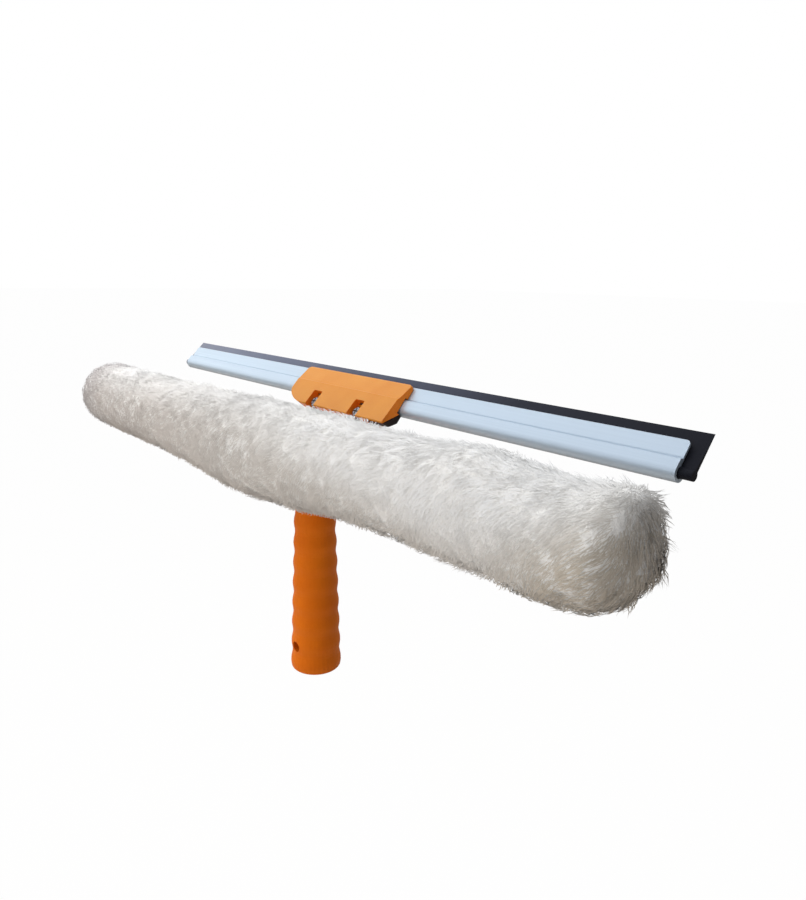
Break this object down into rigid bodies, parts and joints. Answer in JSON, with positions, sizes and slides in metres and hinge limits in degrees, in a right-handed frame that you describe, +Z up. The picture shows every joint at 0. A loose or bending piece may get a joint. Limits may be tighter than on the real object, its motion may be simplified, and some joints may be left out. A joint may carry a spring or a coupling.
{
  "type": "window squeegee washer",
  "caption": "Window cleaning tool with a pile washer sleeve on a T-bar and a rubber squeegee clamped behind it, on one short hollow ribbed handle.",
  "frame": {"origin": "centre of the handle's open foot, where a pole enters", "axes": "+Z up the handle, +X along the washer bar and the channel, +Y from the washer towards the squeegee"},
  "size_m": [0.4955, 0.119, 0.1915],
  "materials": {
    "orange_plastic": "moulded, slightly satin",
    "jaw_plastic": "moulded, satin",
    "black_plastic": "moulded",
    "aluminium": "drawn and anodised",
    "rubber": "matt",
    "steel": "zinc plated",
    "pile": "long fluffy pile"
  },
  "bodies": {
    "head": {"handle_grip": "orange_plastic", "head_yoke": "orange_plastic", "yoke_bolt": "steel", "yoke_nut": "steel", "t_bar": "orange_plastic", "t_bar_cap_left": "black_plastic", "t_bar_cap_right": "black_plastic", "t_bar_screw_left": "steel", "t_bar_screw_right": "steel", "lower_jaw": "black_plastic", "jaw_mount_screw_left": "steel", "jaw_mount_screw_right": "steel", "clamp_nut_left": "steel", "clamp_nut_right": "steel"},
    "sleeve": {"washer_sleeve": "pile"},
    "channel_bar": {"channel": "aluminium"},
    "blade": {"rubber_blade": "rubber"},
    "jaw": {"upper_jaw": "jaw_plastic", "clamp_washer_left": "steel", "clamp_washer_right": "steel"},
    "screw_left": {"clamp_screw_left": "steel"},
    "screw_right": {"clamp_screw_right": "steel"}
  },
  "joints": [
    {"name": "sleeve_pull_off", "type": "slide", "parent": "head", "child": "sleeve", "axis": [1, 0, 0], "range_m": [0, 0.49]},
    {"name": "channel_shift", "type": "slide", "parent": "head", "child": "channel_bar", "axis": [1, 0, 0], "range_m": [-0.17, 0.17]},
    {"name": "blade_pull_out", "type": "slide", "parent": "channel_bar", "child": "blade", "axis": [1, 0, 0], "range_m": [0, 0.45]},
    {"name": "jaw_open", "type": "slide", "parent": "head", "child": "jaw", "axis": [0, -0.7804, 0.6252], "range_m": [0, 0.0014]},
    {"name": "clamp_screw_turn_left", "type": "hinge", "parent": "jaw", "child": "screw_left", "pos_m": [-0.022, 0.0191, 0.16911], "axis": [0, -0.7804, 0.6252], "range_deg": [0, 720]},
    {"name": "clamp_screw_turn_right", "type": "hinge", "parent": "jaw", "child": "screw_right", "pos_m": [0.022, 0.0191, 0.16911], "axis": [0, -0.7804, 0.6252], "range_deg": [0, 720]}
  ],
  "couplings": [
    {"joint": "clamp_screw_turn_left", "follows": "jaw_open", "rad_per_m": 8975},
    {"joint": "clamp_screw_turn_right", "follows": "jaw_open", "rad_per_m": 8975}
  ]
}
